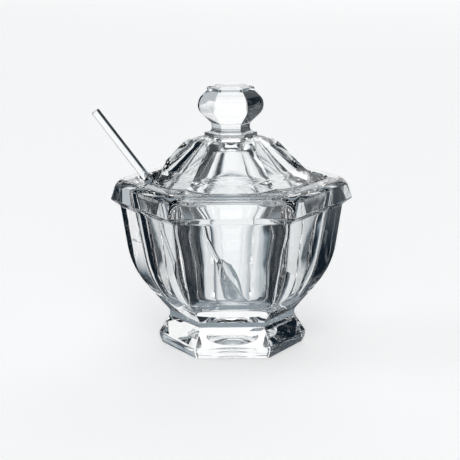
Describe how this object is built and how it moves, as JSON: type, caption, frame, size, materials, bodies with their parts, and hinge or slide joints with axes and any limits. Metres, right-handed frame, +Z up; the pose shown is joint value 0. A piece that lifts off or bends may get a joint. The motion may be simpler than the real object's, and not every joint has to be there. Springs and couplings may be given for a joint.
{
  "type": "jam pot",
  "caption": "Hexagonal cut crystal jam pot on a foot, with a lift-off lid that has a facet-cut knob and a corner notch for its leaning crystal spoon.",
  "frame": {"origin": "where the pot's axis meets the plane of the flat underside of the foot", "axes": "+Z up along the pot's axis; two corners of the hexagon lie on the X axis, so +Y and -Y look square at two flat sides; the spoon leans out towards -X"},
  "size_m": [0.1321, 0.1074, 0.1346],
  "materials": {
    "pot_crystal": "clear lead crystal, cut in broad flats and polished",
    "lid_crystal": "clear lead crystal, cut in broad flats and polished",
    "spoon_crystal": "clear crystal, drawn and fire polished"
  },
  "bodies": {
    "pot": {"pot": "pot_crystal"},
    "lid": {"lid": "lid_crystal"},
    "spoon": {"spoon": "spoon_crystal"}
  },
  "joints": [
    {"name": "lid_lift", "type": "slide", "parent": "pot", "child": "lid", "axis": [0, 0, 1], "range_m": [0, 0.09]},
    {"name": "spoon_draw", "type": "slide", "parent": "pot", "child": "spoon", "axis": [-0.5941, 0, 0.8044], "range_m": [0, 0.04]}
  ]
}
